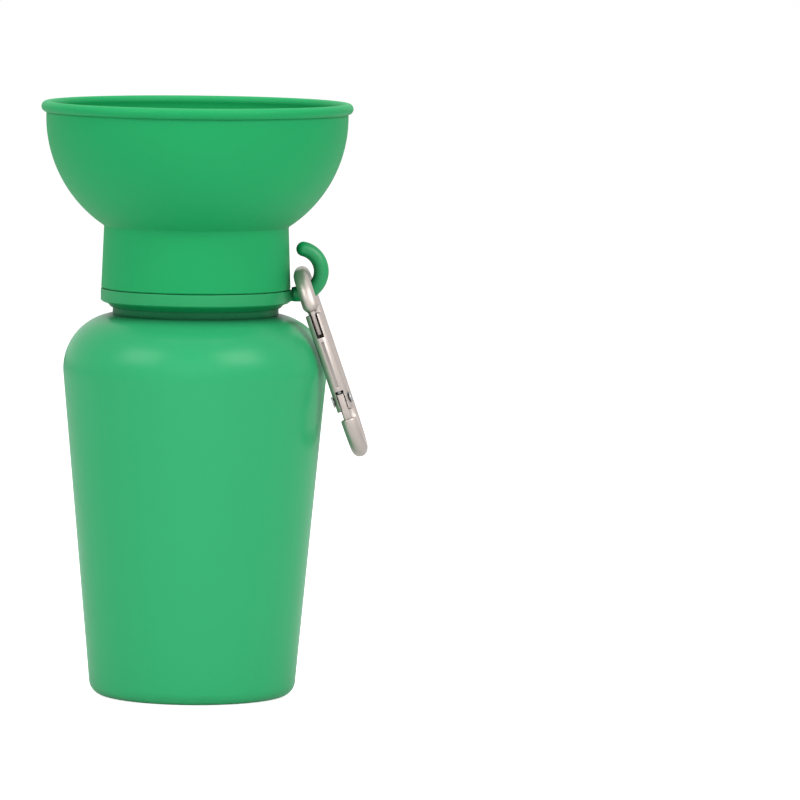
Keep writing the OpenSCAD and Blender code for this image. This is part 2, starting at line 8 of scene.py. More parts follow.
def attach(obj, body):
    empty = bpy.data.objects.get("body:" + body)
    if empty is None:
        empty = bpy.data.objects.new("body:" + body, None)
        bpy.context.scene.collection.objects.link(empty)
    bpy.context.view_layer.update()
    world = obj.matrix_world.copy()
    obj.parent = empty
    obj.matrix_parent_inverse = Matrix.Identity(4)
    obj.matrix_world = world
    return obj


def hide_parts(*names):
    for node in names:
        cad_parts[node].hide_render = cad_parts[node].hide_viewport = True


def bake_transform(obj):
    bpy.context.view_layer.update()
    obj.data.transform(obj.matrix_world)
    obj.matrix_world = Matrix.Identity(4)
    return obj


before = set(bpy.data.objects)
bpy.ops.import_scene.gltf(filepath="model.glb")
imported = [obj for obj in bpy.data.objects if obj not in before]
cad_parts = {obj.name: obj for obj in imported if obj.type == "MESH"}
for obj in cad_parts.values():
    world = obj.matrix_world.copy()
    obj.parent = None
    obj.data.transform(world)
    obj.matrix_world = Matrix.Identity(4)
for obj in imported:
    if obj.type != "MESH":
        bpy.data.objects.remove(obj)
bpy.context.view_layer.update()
scene = bpy.context.scene
mm = 0.001


# Colour and nodes

def linearColor(hexText, alpha=1.0):
    channels = [int(hexText[i:i + 2], 16) / 255 for i in (1, 3, 5)]
    return [c / 12.92 if c <= 0.04045 else ((c + 0.055) / 1.055) ** 2.4 for c in channels] + [alpha]


def addNode(tree, kind, inputs=None, **settings):
    # The settings come first, because they decide which sockets are in use
    node = tree.nodes.new(kind)
    for key, value in settings.items():
        setattr(node, key, value)
    for key, value in (inputs or {}).items():
        socket = node.inputs[key]
        if isinstance(value, bpy.types.NodeSocket):
            tree.links.new(value, socket)
        else:
            socket.default_value = value
    return node


def newMaterial(name):
    material = bpy.data.materials.new(name)
    material.use_nodes = True
    material.node_tree.nodes.clear()
    return material, material.node_tree


def moulded(name, look):
    # A mould's fine texture in real millimetres, over a broad and very faint change of tone, with painted
    # shade in its gaps
    material, tree = newMaterial(name)
    place = addNode(tree, "ShaderNodeTexCoord").outputs["Object"]
    broad = addNode(tree, "ShaderNodeTexNoise", {
        "Vector": place, "Scale": 1 / (look["toneMm"] * mm), "Detail": 2.0})
    tone = addNode(tree, "ShaderNodeMix", {
        "Factor": broad.outputs["Fac"], "A": linearColor(look["color"]), "B": linearColor(look["toneColor"])},
        data_type="RGBA")
    fine = addNode(tree, "ShaderNodeTexNoise", {
        "Vector": place, "Scale": 1 / (look["grainMm"] * mm), "Detail": 3.0})
    bump = addNode(tree, "ShaderNodeBump", {
        "Height": fine.outputs["Fac"], "Strength": look["grain"], "Distance": look["grainDepthMm"] * mm})
    rough = addNode(tree, "ShaderNodeMapRange", {
        "Value": broad.outputs["Fac"],
        "To Min": look["roughness"] - look["roughnessSpread"],
        "To Max": look["roughness"] + look["roughnessSpread"]})
    # Painted shade: ambient occlusion darkens the base colour in gaps narrower than this reach
    paintedShadeAO = addNode(tree, "ShaderNodeAmbientOcclusion", {
        "Color": (1, 1, 1, 1), "Distance": look["paintedShadeMm"] * mm},
        samples=8, only_local=look["paintedShadeOwnOnly"])
    depth = addNode(tree, "ShaderNodeMath", {
        0: paintedShadeAO.outputs["AO"], 1: look["paintedShadeDepth"]}, operation="POWER")
    shade = addNode(tree, "ShaderNodeVectorMath", {
        0: tone.outputs[2], "Scale": depth.outputs[0]}, operation="SCALE")  # output 2 is the mixed colour
    # Painted shade on the reflection too: the specular level drops in the same gaps
    gloss = addNode(tree, "ShaderNodeMath", {
        0: depth.outputs[0], 1: look["specular"]}, operation="MULTIPLY")
    shader = addNode(tree, "ShaderNodeBsdfPrincipled", {
        "Base Color": shade.outputs[0], "Roughness": rough.outputs[0], "Normal": bump.outputs[0],
        "IOR": look["ior"], "Specular IOR Level": gloss.outputs[0],
        "Subsurface Weight": look["subsurface"], "Subsurface Scale": look["subsurfaceMm"] * mm,
        "Sheen Weight": look["sheen"], "Sheen Roughness": 0.5})
    addNode(tree, "ShaderNodeOutputMaterial", {"Surface": shader.outputs[0]})
    return material


def metal(name, look):
    # Grain drawn out along one axis, as tumbling and turning leave it
    material, tree = newMaterial(name)
    place = addNode(tree, "ShaderNodeTexCoord").outputs["Object"]
    drawn = addNode(tree, "ShaderNodeMapping", {
        "Vector": place, "Scale": [1 / (g * mm) for g in look["grainMm"]]})
    grain = addNode(tree, "ShaderNodeTexNoise", {"Vector": drawn.outputs[0], "Scale": 1.0, "Detail": 3.0})
    rough = addNode(tree, "ShaderNodeMapRange", {
        "Value": grain.outputs["Fac"],
        "To Min": look["roughness"] - look["roughnessSpread"],
        "To Max": look["roughness"] + look["roughnessSpread"]})
    bump = addNode(tree, "ShaderNodeBump", {
        "Height": grain.outputs["Fac"], "Strength": look["grain"], "Distance": look["grainDepthMm"] * mm})
    # Painted shade: ambient occlusion darkens the metal's colour in gaps narrower than this reach
    paintedShadeAO = addNode(tree, "ShaderNodeAmbientOcclusion", {
        "Color": linearColor(look["color"]), "Distance": look["paintedShadeMm"] * mm}, samples=8)
    shader = addNode(tree, "ShaderNodeBsdfPrincipled", {
        "Base Color": paintedShadeAO.outputs["Color"], "Metallic": look["metallic"],
        "Roughness": rough.outputs[0], "Normal": bump.outputs[0]})
    addNode(tree, "ShaderNodeOutputMaterial", {"Surface": shader.outputs[0]})
    return material


# Materials. Values whose names end in Mm are real millimetres.

# Silicone rubber, compression moulded: matt, so that the bowl shows no sharp highlight
siliconeMoulded = moulded("siliconeMoulded", {
    "color": "#0e9c58", "toneColor": "#12a05c", "toneMm": 26,
    "grainMm": 0.9, "grain": 0.12, "grainDepthMm": 0.04,
    "roughness": 0.56, "roughnessSpread": 0.04, "ior": 1.42, "specular": 0.3, "sheen": 0.05,
    "subsurface": 0.0, "subsurfaceMm": 1.0, "paintedShadeMm": 16, "paintedShadeDepth": 0.15, "paintedShadeOwnOnly": False})
# Low-density polyethylene, blow moulded: glossy, with soft highlights over the shoulder.
# Its painted shade, dark in the neck gap, comes only from its own crevices, so that the floor doesn't darken
# the foot.
bottleBlown = moulded("bottleBlown", {
    "color": "#2ea86b", "toneColor": "#31aa6e", "toneMm": 60,
    "grainMm": 6, "grain": 0.05, "grainDepthMm": 0.05,
    "roughness": 0.3, "roughnessSpread": 0.02, "ior": 1.28, "specular": 0.5, "sheen": 0.0,
    "subsurface": 0.0, "subsurfaceMm": 1.0, "paintedShadeMm": 10, "paintedShadeDepth": 3.0, "paintedShadeOwnOnly": True})
# Polypropylene, injection moulded: satin, and a slightly deeper green than the bowl
capMoulded = moulded("capMoulded", {
    "color": "#0a9656", "toneColor": "#0d9959", "toneMm": 20,
    "grainMm": 0.8, "grain": 0.08, "grainDepthMm": 0.03,
    "roughness": 0.4, "roughnessSpread": 0.04, "ior": 1.49, "specular": 0.5, "sheen": 0.0,
    "subsurface": 0.0, "subsurfaceMm": 1.0, "paintedShadeMm": 5, "paintedShadeDepth": 0.8, "paintedShadeOwnOnly": False})
# Natural silicone, moulded, for the flat seals: milky and matt
sealMoulded = moulded("sealMoulded", {
    "color": "#d9dad3", "toneColor": "#d2d3cc", "toneMm": 9,
    "grainMm": 0.6, "grain": 0.1, "grainDepthMm": 0.03,
    "roughness": 0.55, "roughnessSpread": 0.04, "ior": 1.42, "specular": 0.4, "sheen": 0.0,
    "subsurface": 0.2, "subsurfaceMm": 1.0, "paintedShadeMm": 1, "paintedShadeDepth": 0.2, "paintedShadeOwnOnly": False})
# Nitrile rubber, moulded, for the ring on the stem: nearly black and dull
nitrileMoulded = moulded("nitrileMoulded", {
    "color": "#2b2b2b", "toneColor": "#242424", "toneMm": 4,
    "grainMm": 0.4, "grain": 0.1, "grainDepthMm": 0.02,
    "roughness": 0.45, "roughnessSpread": 0.04, "ior": 1.5, "specular": 0.5, "sheen": 0.0,
    "subsurface": 0.0, "subsurfaceMm": 1.0, "paintedShadeMm": 6, "paintedShadeDepth": 0.8, "paintedShadeOwnOnly": False})
# Natural polyethylene, extruded, for the dip tube: waxy, and light passes a little way into it
tubeExtruded = moulded("tubeExtruded", {
    "color": "#d5e8de", "toneColor": "#cbe2d6", "toneMm": 30,
    "grainMm": 3, "grain": 0.05, "grainDepthMm": 0.02,
    "roughness": 0.32, "roughnessSpread": 0.03, "ior": 1.5, "specular": 0.5, "sheen": 0.0,
    "subsurface": 0.4, "subsurfaceMm": 1.2, "paintedShadeMm": 1, "paintedShadeDepth": 0.2, "paintedShadeOwnOnly": False})
# Zinc alloy, die cast, tumbled and nickel plated: a warm grey with a soft, broken shine
zincPlated = metal("zincPlated", {
    "color": "#bdb3ad", "metallic": 0.85, "grainMm": [0.5, 0.5, 6], "grain": 0.15, "grainDepthMm": 0.02,
    "roughness": 0.42, "roughnessSpread": 0.06, "paintedShadeMm": 2.5})
# Steel, turned, for rivet, spring, washer, clip and plunger: a cooler grey with a finer grain
steelTurned = metal("steelTurned", {
    "color": "#a8a8aa", "metallic": 1.0, "grainMm": [0.3, 0.3, 3], "grain": 0.12, "grainDepthMm": 0.02,
    "roughness": 0.33, "roughnessSpread": 0.04, "paintedShadeMm": 1.0})


# Geometry trees

def interface(tree, name, kind, direction="INPUT", default=None):
    socket = tree.interface.new_socket(name=name, in_out=direction, socket_type=kind)
    if default is not None:
        socket.default_value = default
    return socket.identifier


def turningTree():
    # Turns the object's own line of points about Z, as a lathe does. With a rise it makes a screw thread.
    tree = bpy.data.node_groups.new("turning", "GeometryNodeTree")
    interface(tree, "Line", "NodeSocketGeometry")
    names = {
        "steps": interface(tree, "Steps", "NodeSocketInt", default=192),
        "turns": interface(tree, "Turns", "NodeSocketFloat", default=1.0),
        "rise": interface(tree, "Rise", "NodeSocketFloat", default=0.0),
        "material": interface(tree, "Material", "NodeSocketMaterial")}
    interface(tree, "Geometry", "NodeSocketGeometry", "OUTPUT")
    given = addNode(tree, "NodeGroupInput").outputs
    # The grid has a row for each point of the line and a column for each step of the turn
    count = addNode(tree, "GeometryNodeAttributeDomainSize", {"Geometry": given["Line"]}, component="MESH")
    points = count.outputs["Point Count"]
    columns = addNode(tree, "ShaderNodeMath", {0: given["Steps"], 1: 1.0}, operation="ADD")
    grid = addNode(tree, "GeometryNodeMeshGrid", {
        "Vertices X": columns.outputs[0], "Vertices Y": points, "Size X": 1.0, "Size Y": 1.0})
    index = addNode(tree, "GeometryNodeInputIndex")
    row = addNode(tree, "ShaderNodeMath", {0: index.outputs[0], 1: points}, operation="MODULO")
    column = addNode(tree, "ShaderNodeMath", {0: index.outputs[0], 1: points}, operation="DIVIDE")
    whole = addNode(tree, "ShaderNodeMath", {0: column.outputs[0]}, operation="FLOOR")
    share = addNode(tree, "ShaderNodeMath", {0: whole.outputs[0], 1: given["Steps"]}, operation="DIVIDE")
    turned = addNode(tree, "ShaderNodeMath", {0: share.outputs[0], 1: given["Turns"]}, operation="MULTIPLY")
    angle = addNode(tree, "ShaderNodeMath", {0: turned.outputs[0], 1: math.tau}, operation="MULTIPLY")
    lift = addNode(tree, "ShaderNodeMath", {0: share.outputs[0], 1: given["Rise"]}, operation="MULTIPLY")
    position = addNode(tree, "GeometryNodeInputPosition")
    point = addNode(tree, "GeometryNodeSampleIndex", {
        "Geometry": given["Line"], "Value": position.outputs[0], "Index": row.outputs[0]},
        data_type="FLOAT_VECTOR", domain="POINT")
    spun = addNode(tree, "ShaderNodeVectorRotate", {"Vector": point.outputs[0], "Angle": angle.outputs[0]},
                   rotation_type="Z_AXIS")
    raised = addNode(tree, "ShaderNodeCombineXYZ", {"Z": lift.outputs[0]})
    final = addNode(tree, "ShaderNodeVectorMath", {0: spun.outputs[0], 1: raised.outputs[0]}, operation="ADD")
    placed = addNode(tree, "GeometryNodeSetPosition", {
        "Geometry": grid.outputs["Mesh"], "Position": final.outputs[0]})
    welded = addNode(tree, "GeometryNodeMergeByDistance", {"Geometry": placed.outputs[0], "Distance": 1e-6})
    real = addNode(tree, "GeometryNodeRealizeInstances", {"Geometry": welded.outputs[0]})
    painted = addNode(tree, "GeometryNodeSetMaterial", {
        "Geometry": real.outputs[0], "Material": given["Material"]})
    addNode(tree, "NodeGroupOutput", {"Geometry": painted.outputs[0]})
    return tree, names


def sweepingTree():
    # Runs a round section along the object's own line of points, as thick as each point says
    tree = bpy.data.node_groups.new("sweeping", "GeometryNodeTree")
    interface(tree, "Line", "NodeSocketGeometry")
    names = {
        "sides": interface(tree, "Sides", "NodeSocketInt", default=48),
        "material": interface(tree, "Material", "NodeSocketMaterial")}
    interface(tree, "Geometry", "NodeSocketGeometry", "OUTPUT")
    given = addNode(tree, "NodeGroupInput").outputs
    curve = addNode(tree, "GeometryNodeMeshToCurve", {"Mesh": given["Line"]})
    width = addNode(tree, "GeometryNodeInputNamedAttribute", {"Name": "reach"}, data_type="FLOAT")
    ring = addNode(tree, "GeometryNodeCurvePrimitiveCircle", {"Resolution": given["Sides"], "Radius": 1.0})
    tube = addNode(tree, "GeometryNodeCurveToMesh", {
        "Curve": curve.outputs[0], "Profile Curve": ring.outputs[0], "Scale": width.outputs[0],
        "Fill Caps": True})
    real = addNode(tree, "GeometryNodeRealizeInstances", {"Geometry": tube.outputs[0]})
    painted = addNode(tree, "GeometryNodeSetMaterial", {
        "Geometry": real.outputs[0], "Material": given["Material"]})
    addNode(tree, "NodeGroupOutput", {"Geometry": painted.outputs[0]})
    return tree, names


turning, turningInputs = turningTree()
sweeping, sweepingInputs = sweepingTree()


# Meshes. Sizes and places are in millimetres from here on.

def lineObject(points, widths=None):
    mesh = bpy.data.meshes.new("line")
    mesh.from_pydata([Vector(p) * mm for p in points], [(i, i + 1) for i in range(len(points) - 1)], [])
    if widths:
        attribute = mesh.attributes.new("reach", "FLOAT", "POINT")
        attribute.data.foreach_set("value", [w * mm for w in widths])
    made = bpy.data.objects.new("line", mesh)
    scene.collection.objects.link(made)
    return made


def runTree(source, tree, names, values):
    modifier = source.modifiers.new("tree", "NODES")
    modifier.node_group = tree
    for key, value in values.items():
        modifier[names[key]] = value
    bpy.context.view_layer.update()
    shown = source.evaluated_get(bpy.context.evaluated_depsgraph_get())
    mesh = bpy.data.meshes.new_from_object(shown)
    source.modifiers.remove(modifier)
    spent = source.data
    bpy.data.objects.remove(source)
    bpy.data.meshes.remove(spent)
    return mesh


def closeMesh(mesh):
    form = bmesh.new()
    form.from_mesh(mesh)
    bmesh.ops.remove_doubles(form, verts=form.verts, dist=1e-7)
    bmesh.ops.dissolve_degenerate(form, edges=form.edges, dist=1e-8)
    bmesh.ops.holes_fill(form, edges=[e for e in form.edges if e.is_boundary])
    bmesh.ops.recalc_face_normals(form, faces=form.faces)
    form.to_mesh(mesh)
    form.free()
    return mesh


def turnedMesh(outline, material, steps=192, turns=1.0, rise=0.0):
    # The outline is a list of [radius, height] that runs from axis to axis or ends where it began
    mesh = runTree(lineObject([(r, 0, z) for r, z in outline]), turning, turningInputs, {
        "steps": steps, "turns": turns, "rise": rise * mm, "material": material})
    return closeMesh(mesh)


def sweptMesh(points, widths, material, sides=48):
    mesh = runTree(lineObject(points, widths), sweeping, sweepingInputs, {
        "sides": sides, "material": material})
    return closeMesh(mesh)


def moved(mesh, matrix):
    mesh.transform(matrix)
    return mesh


def makePiece(name, meshes, smoothDeg=35):
    # Joins the meshes as they are into one object at the origin, shaded smooth except at sharp edges
    form = bmesh.new()
    materials = []
    for mesh in meshes:
        for material in mesh.materials:
            if material not in materials:
                materials.append(material)
        part = bmesh.new()
        part.from_mesh(mesh)
        for face in part.faces:
            face.material_index = materials.index(mesh.materials[face.material_index])
            face.smooth = True
        spare = bpy.data.meshes.new("spare")
        part.to_mesh(spare)
        form.from_mesh(spare)
        part.free()
        bpy.data.meshes.remove(spare)
        bpy.data.meshes.remove(mesh)
    for edge in form.edges:
        if len(edge.link_faces) == 2:
            edge.smooth = edge.calc_face_angle(0) < math.radians(smoothDeg)
    mesh = bpy.data.meshes.new(name)
    form.to_mesh(mesh)
    form.free()
    for material in materials:
        mesh.materials.append(material)
    piece = bpy.data.objects.new(name, mesh)
    scene.collection.objects.link(piece)
    return piece


def cutBy(mesh, cutters):
    # Takes the cutters' volume out of the mesh with an exact boolean
    body = bpy.data.objects.new("body", mesh)
    scene.collection.objects.link(body)
    spares = []
    for cutter in cutters:
        tool = bpy.data.objects.new("cutter", cutter)
        scene.collection.objects.link(tool)
        spares.append(tool)
        modifier = body.modifiers.new("cut", "BOOLEAN")
        modifier.operation = "DIFFERENCE"
        modifier.solver = "EXACT"
        modifier.object = tool
    bpy.context.view_layer.update()
    shown = body.evaluated_get(bpy.context.evaluated_depsgraph_get())
    cut = bpy.data.meshes.new_from_object(shown)
    for tool in spares:
        bpy.data.objects.remove(tool)
    bpy.data.objects.remove(body)
    return cut


def boxMesh(low, high, material):
    corners = [(x, y, z) for x in (low[0], high[0]) for y in (low[1], high[1]) for z in (low[2], high[2])]
    faces = [(0, 1, 3, 2), (4, 6, 7, 5), (0, 4, 5, 1), (2, 3, 7, 6), (0, 2, 6, 4), (1, 5, 7, 3)]
    mesh = bpy.data.meshes.new("box")
    mesh.from_pydata([Vector(c) * mm for c in corners], [], faces)
    mesh.materials.append(material)
    return mesh


def beveled(mesh, width, segments=3, angleDeg=40):
    form = bmesh.new()
    form.from_mesh(mesh)
    bmesh.ops.dissolve_limit(form, angle_limit=0.001, verts=form.verts, edges=form.edges)
    least = math.radians(angleDeg)
    sharp = [e for e in form.edges if len(e.link_faces) == 2 and e.calc_face_angle(0) > least]
    bmesh.ops.bevel(form, geom=sharp, offset=width * mm, segments=segments, affect="EDGES", profile=0.5,
                    clamp_overlap=True)
    form.to_mesh(mesh)
    form.free()
    return mesh


def arcPoints(cx, cz, r, fromDeg, toDeg, count):
    turns = [math.radians(fromDeg + (toDeg - fromDeg) * i / count) for i in range(count + 1)]
    return [[cx + r * math.cos(a), cz + r * math.sin(a)] for a in turns]


def linePoints(a, b, count):
    # The points between a and b, without the two ends
    return [[a[0] + (b[0] - a[0]) * i / count, a[1] + (b[1] - a[1]) * i / count] for i in range(1, count)]


def aroundAxis(out, deg):
    a = math.radians(deg)
    return Matrix.Translation(Vector([math.cos(a), math.sin(a), 0]) * out * mm)


def rounded(outline, radii, count=5):
    # Rounds the corners of an open outline; radii holds one radius a corner, 0 to leave it as it is
    sideShare = 0.49  # under a half, so that two neighbouring corners never meet
    made = [outline[0]]
    for i in range(1, len(outline) - 1):
        before, corner, after = (Vector(outline[k]) for k in (i - 1, i, i + 1))
        radius = radii[i]
        if radius <= 0:
            made.append(list(corner))
            continue
        u, v = (before - corner).normalized(), (after - corner).normalized()
        half = u.angle(v) / 2
        reach = min(radius / math.tan(half), sideShare * (before - corner).length,
                    sideShare * (after - corner).length)
        radius = reach * math.tan(half)
        centre = corner + (u + v).normalized() * radius / math.sin(half)
        a, b = corner + u * reach - centre, corner + v * reach - centre
        turn = a.angle_signed(b)
        for k in range(count + 1):
            t = -turn * k / count
            made.append([centre.x + a.x * math.cos(t) - a.y * math.sin(t),
                         centre.y + a.x * math.sin(t) + a.y * math.cos(t)])
    made.append(outline[-1])
    return made


# Bottle

bottle = {
    "bodyR": 45.45, "footR": 35.25, "shoulderH": 131.9, "shoulderArcR": 19.1, "footFilletR": 5.0,
    "wall": 1.3, "floor": 2.2, "neckH": 24.1, "neckR": 27.2, "neckWall": 1.5,
    "collarR": 28.6, "collarH": 6.5, "collarStep": 1.0, "edgeR": 0.3,
    "pitch": 4.5, "threadTurns": 1.5, "threadDepth": 1.25, "threadRoot": 2.2, "threadCrest": 1.1,
    "threadFromLip": 3.0, "threadSink": 0.2,
    "steps": 256, "threadSteps": 240, "footSteps": 12, "wallSteps": 40}


def bottleTaper(b):
    # The centre of the shoulder's arc, and the lean of the wall from the foot up to that arc
    x = b["bodyR"] - b["shoulderArcR"]
    z = b["shoulderH"] - math.sqrt(b["shoulderArcR"] ** 2 - (b["collarR"] - x) ** 2)
    reach = math.hypot(b["footR"] - x, z)
    taper = -(math.atan2(-z, b["footR"] - x) + math.acos(b["shoulderArcR"] / reach))
    return x, z, taper


def bodyOutline(b, inset, low, fillet):
    # The outside with an inset of 0, or the inside a wall further in
    x, z, taper = bottleTaper(b)
    wallX = b["footR"] + low * math.tan(taper) - inset / math.cos(taper)
    filletX = wallX - fillet * (1 - math.sin(taper)) / math.cos(taper)
    topR = b["neckR"] - b["neckWall"] if inset else b["collarR"]
    topDeg = math.degrees(math.acos((topR - x) / (b["shoulderArcR"] - inset)))
    taperDeg = math.degrees(taper)
    foot = arcPoints(filletX, low + fillet, fillet, -90, -taperDeg, b["footSteps"])
    shoulder = arcPoints(x, z, b["shoulderArcR"] - inset, -taperDeg, topDeg, b["wallSteps"])
    return [[0, low]] + foot + linePoints(foot[-1], shoulder[0], b["wallSteps"]) + shoulder


def makeBottle(b):
    lip = b["shoulderH"] + b["neckH"]
    top = b["shoulderH"] + b["collarH"]
    bore = b["neckR"] - b["neckWall"]
    outside = bodyOutline(b, 0, 0, b["footFilletR"])
    inside = bodyOutline(b, b["wall"], b["floor"], b["footFilletR"] - b["wall"])
    neck = rounded([outside[-1], [b["collarR"], top], [b["neckR"], top + b["collarStep"]], [b["neckR"], lip],
                    [bore, lip], inside[-1]], [0] + [b["edgeR"]] * 4 + [0])
    skin = turnedMesh(outside + neck[1:] + inside[:-1][::-1], bottleBlown, b["steps"])
    root, crest = b["neckR"] - b["threadSink"], b["neckR"] + b["threadDepth"]
    ridge = rounded([[root, -b["threadRoot"] / 2], [crest, -b["threadCrest"] / 2],
                     [crest, b["threadCrest"] / 2], [root, b["threadRoot"] / 2]],
                    [0, b["edgeR"], b["edgeR"], 0])
    low = lip - b["threadFromLip"] - b["threadTurns"] * b["pitch"]
    shape = [[r, z + low] for r, z in ridge + [ridge[0]]]
    rise = b["threadTurns"] * b["pitch"]
    thread = turnedMesh(shape, bottleBlown, b["threadSteps"], b["threadTurns"], rise)
    piece = makePiece("bottleSkin", [skin, thread])
    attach(piece, "bottle")
    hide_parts("bottle")


print("bottle")
makeBottle(bottle)


# Bowl and bead, one skin from the sleeve over the cap up to the rim

bowl = {
    "outerR": 51.95, "arcR": 44.8, "floorZ": 162.3, "curveDeg": 60.16, "wall": 1.8,
    "beadH": 40.7, "beadR": 1.9, "beadInset": 0.2, "beadFromDeg": -65, "beadToDeg": 205,
    "outerBelowBead": 0.8, "innerBelowBead": 0.9,  # where the walls end, in bead radii below its middle
    "holeR": 20.3, "deckZ": 160.55, "gripTopR": 30.45, "gripLowR": 31.25,
    "sleeveTopR": 31.8, "sleeveLowR": 32.6, "sleeveLowZ": 140.75, "sleeveEdgeW": 0.35, "sleeveEdgeH": 0.4,
    "creaseR": 0.9, "creaseEnd": 4, "creaseSteps": 8, "softEdgeR": 0.5, "fineEdgeR": 0.3,
    "foldFromZ": 166.0, "foldToZ": 202.5,
    "smoothDeg": 40, "steps": 288, "wallSteps": 120, "beadSteps": 28, "sleeveSteps": 24}


def makeBowl(b):
    inner = b["arcR"] - b["wall"]
    arcX, arcZ = b["outerR"] - b["arcR"], b["floorZ"] + inner * math.sin(math.radians(b["curveDeg"]))
    beadX, beadZ = b["outerR"] - b["beadInset"], b["floorZ"] + b["beadH"]
    footDeg = math.degrees(math.acos((b["sleeveTopR"] - arcX) / b["arcR"]))
    foot = [b["sleeveTopR"], arcZ - b["arcR"] * math.sin(math.radians(footDeg))]
    outerTop = math.degrees(math.asin((beadZ - b["outerBelowBead"] * b["beadR"] - arcZ) / b["arcR"]))
    innerTop = math.degrees(math.asin((beadZ - b["innerBelowBead"] * b["beadR"] - arcZ) / inner))
    outer = arcPoints(arcX, arcZ, b["arcR"], -footDeg, outerTop, b["wallSteps"])
    sleeve = [[b["sleeveLowR"] - b["sleeveEdgeW"], b["sleeveLowZ"]],
              [b["sleeveLowR"], b["sleeveLowZ"] + b["sleeveEdgeH"]]]
    sleeve += linePoints(sleeve[-1], foot, b["sleeveSteps"])
    # The crease between sleeve and bowl is a small arc that joins the wall a few points up
    wall = outer[b["creaseEnd"]:]
    crease = rounded([sleeve[-1], foot, wall[0]], [0, b["creaseR"], 0], b["creaseSteps"])[1:-1]
    bead = arcPoints(beadX, beadZ, b["beadR"], b["beadFromDeg"], b["beadToDeg"], b["beadSteps"])
    insideWall = arcPoints(arcX, arcZ, inner, innerTop, -b["curveDeg"], b["wallSteps"])
    floorRow = rounded([insideWall[-1], [b["holeR"], b["floorZ"]], [b["holeR"], b["deckZ"]],
                        [b["gripTopR"], b["deckZ"]], [b["gripLowR"], b["sleeveLowZ"]], sleeve[0]],
                       [0, b["softEdgeR"], b["fineEdgeR"], b["softEdgeR"], b["fineEdgeR"], 0])[1:]
    skin = turnedMesh(sleeve + crease + wall + bead + insideWall + floorRow, siliconeMoulded, b["steps"])
    piece = makePiece("bowlSkin", [skin], b["smoothDeg"])
    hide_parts("bowl", "bowl_rim")
    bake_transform(piece)


print("bowl")
makeBowl(bowl)


# Hook ring

hookRing = {
    "outerR": 32.75, "boreR": 30.5, "counterR": 31.5, "ledgeZ": 137.4, "lowZ": 136.0, "topZ": 140.6,
    "edgeW": 0.8, "edgeH": 0.6, "edgeRadii": [0, 0.1, 0.15, 0.3, 0.5, 0.2, 0.2, 0], "steps": 256,
    "footW": 4.2, "footSink": 0.9, "footOut": 0.3, "footInset": 0.1, "footBevel": 0.3,
    "rootX": 33.0, "rootH": 3.1, "rootThin": 0.35, "rootPower": 6, "rootSteps": 8,
    "hookOut": 2.5, "arcR": 7.9, "rodR": 2.6, "tipDeg": 77, "arcSteps": 60, "tipSteps": 12, "sides": 40}


def makeHookRing(h):
    outline = rounded([
        [h["boreR"], h["ledgeZ"]], [h["counterR"], h["ledgeZ"]], [h["counterR"], h["lowZ"]],
        [h["outerR"] - h["edgeW"], h["lowZ"]], [h["outerR"], h["lowZ"] + h["edgeH"]],
        [h["outerR"], h["topZ"]], [h["boreR"], h["topZ"]], [h["boreR"], h["ledgeZ"]]], h["edgeRadii"])
    band = turnedMesh(outline, capMoulded, h["steps"])
    foot = beveled(boxMesh(
        [h["outerR"] - h["footSink"], -h["footW"] / 2, h["lowZ"] + h["edgeH"] + h["footInset"]],
        [h["rootX"] + h["footOut"], h["footW"] / 2, h["topZ"] - h["footInset"]], capMoulded), h["footBevel"])
    x = h["outerR"] + h["hookOut"]
    z = h["lowZ"] + h["rootH"] + h["arcR"]
    path, widths = [], []
    for i in range(h["rootSteps"]):
        s = i / h["rootSteps"]
        path.append([h["rootX"] + (x - h["rootX"]) * s, 0, z - h["arcR"]])
        widths.append(h["rodR"] - h["rootThin"] * (1 - s) ** h["rootPower"])
    for px, pz in arcPoints(x, z, h["arcR"], -90, h["tipDeg"], h["arcSteps"]):
        path.append([px, 0, pz])
        widths.append(h["rodR"])
    # The tip is a half ball that stops just short of its pole
    end = Vector(path[-1])
    ahead = (end - Vector(path[-2])).normalized()
    for i in range(1, h["tipSteps"] + 1):
        a = math.radians(90 * i / (h["tipSteps"] + 0.5))
        path.append(list(end + ahead * h["rodR"] * math.sin(a)))
        widths.append(h["rodR"] * math.cos(a))
    hook = sweptMesh(path, widths, capMoulded, h["sides"])
    piece = makePiece("hookRingSkin", [band, foot, hook])
    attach(piece, "ring")
    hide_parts("hook_ring")


print("hook ring")
makeHookRing(hookRing)


# Twist knob and carry loop. The stem has a groove for its clip and one for its sealing ring.

knob = {
    "discR": 19.7, "lowZ": 160.8, "topZ": 163.2, "stemR": 4.0, "stemLowZ": 148.9,
    "clipLowZ": 150.1, "clipTopZ": 150.8, "clipR": 2.8, "sealLowZ": 153.5, "sealTopZ": 155.4, "sealR": 2.5,
    "edgeRadii": [0, 0.5, 0, 0, 0, 0, 0.1, 0, 0, 0.1, 0, 0.3, 0.6, 0], "steps": 160,
    "halfW": 15.1, "loopH": 17.3, "rodR": 2.3, "footR": 3.5, "footPower": 2.2, "sink": 0.3,
    "legSteps": 12, "loopSteps": 72, "sides": 40,
    "portR": 2.4, "portOut": 13.0, "portDeg": 45, "cutPast": 1,
    "stopOut": 15.5, "stopR": 1.2, "stopH": 1.2, "stopDeg": 225, "stopEdgeR": 0.2, "stopSides": 32}


